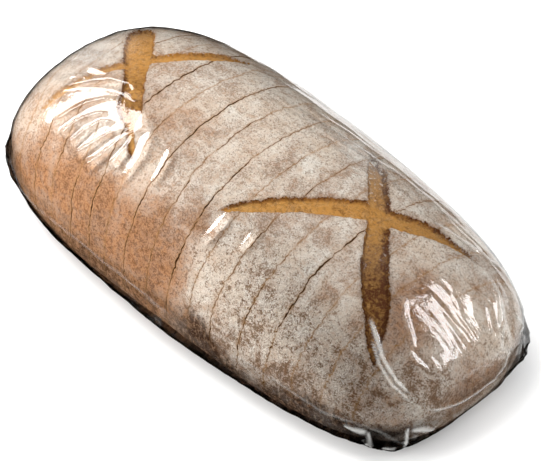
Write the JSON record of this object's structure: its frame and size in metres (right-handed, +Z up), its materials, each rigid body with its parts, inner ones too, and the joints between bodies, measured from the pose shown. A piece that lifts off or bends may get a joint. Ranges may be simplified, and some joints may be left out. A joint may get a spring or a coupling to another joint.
{
  "type": "loaf in bread bag",
  "caption": "Long floured country loaf, sliced right through and scored with crosses, sealed in tight clear film.",
  "frame": {"origin": "on the surface the loaf stands on, under the middle of its box", "axes": "+X along the loaf, towards the end with the lower crown; +Z up"},
  "size_m": [0.266, 0.1302, 0.0826],
  "materials": {
    "crust": "dry floured bread crust, grey-beige flour over warm brown",
    "crumb": "soft open wheat and rye crumb",
    "film": "thin clear glossy film, tight over the crust and creased at its ends"
  },
  "bodies": {
    "root": {"bagged_loaf": "crust"}
  },
  "joints": []
}
